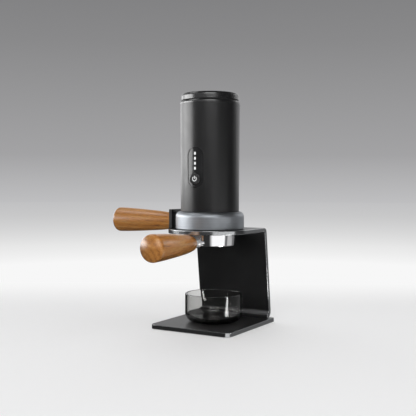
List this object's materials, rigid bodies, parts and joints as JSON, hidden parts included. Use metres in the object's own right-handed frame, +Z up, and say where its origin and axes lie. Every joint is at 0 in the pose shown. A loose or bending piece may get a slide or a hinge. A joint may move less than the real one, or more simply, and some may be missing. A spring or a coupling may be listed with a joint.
{
  "type": "portable espresso machine",
  "caption": "Portable electric espresso machine: tubular body on a bent plate stand, with a side handle, a bayonet portafilter and a glass cup on the base.",
  "frame": {"origin": "on the surface that the base stands on, under the axis of the tubular body", "axes": "+Z up, -Y towards the control panel and the portafilter's handle, -X towards the side handle"},
  "size_m": [0.1985, 0.2013, 0.287],
  "materials": {
    "stand_black": "black powder coat",
    "body_black": "matte black anodised",
    "gloss_black": "gloss",
    "collar_alloy": "satin anodised",
    "plain_black": "fine texture",
    "oiled_wood": "oiled, open grain",
    "chrome": "polished",
    "steel": "brushed",
    "black_rubber": "matte",
    "clear_tube": "translucent silicone",
    "tank_plastic": "smoke grey",
    "light_white": "lit white",
    "board_green": "solder mask",
    "cell_wrap": "shrink wrap",
    "smoked_glass": "clear, slightly smoked"
  },
  "bodies": {
    "stand": {"base_plate": "stand_black", "stand_frame": "stand_black", "body_shell": "body_black", "top_ring": "gloss_black", "panel_bezel": "gloss_black", "collar": "collar_alloy", "head_block": "collar_alloy", "handle_bracket": "plain_black", "chassis": "plain_black", "pump_head": "plain_black", "side_grip": "oiled_wood", "foot_screws": "steel", "bayonet_ring": "steel", "shower_screen": "steel", "shower_screw": "steel", "collar_screws": "steel", "side_stud": "steel", "heater_plate": "steel", "temperature_probe": "steel", "pump_motor": "steel", "charge_port": "steel", "base_pad": "black_rubber", "seat_pad": "black_rubber", "brew_gasket": "black_rubber", "tank_tube": "clear_tube", "outlet_tube": "clear_tube", "water_tank": "tank_plastic", "led_bars": "light_white", "control_board": "board_green", "button_switch": "board_green", "charge_board": "board_green", "battery_cells": "cell_wrap"},
    "lid": {"lid_cap": "gloss_black", "lid_plug": "plain_black", "lid_seal": "black_rubber"},
    "power_button": {"power_button": "gloss_black"},
    "portafilter": {"portafilter_body": "chrome", "filter_basket": "steel", "basket_clip": "steel", "handle_washer": "black_rubber", "portafilter_stud": "steel", "portafilter_grip": "oiled_wood"},
    "cup": {"glass_cup": "smoked_glass"}
  },
  "joints": [
    {"name": "lid_lift", "type": "slide", "parent": "stand", "child": "lid", "axis": [0, 0, 1], "range_m": [0, 0.04]},
    {"name": "button_press", "type": "slide", "parent": "stand", "child": "power_button", "axis": [0, 1, 0], "range_m": [0, 0.001], "stiffness_N_per_m": 800, "springref_m": -0.0005},
    {"name": "portafilter_turn", "type": "hinge", "parent": "stand", "child": "portafilter", "pos_m": [0, 0, 0.1062], "axis": [0, 0, 1], "range_deg": [-45, 0]},
    {"name": "cup_slide", "type": "slide", "parent": "stand", "child": "cup", "axis": [0, -1, 0], "range_m": [0, 0.05]}
  ]
}
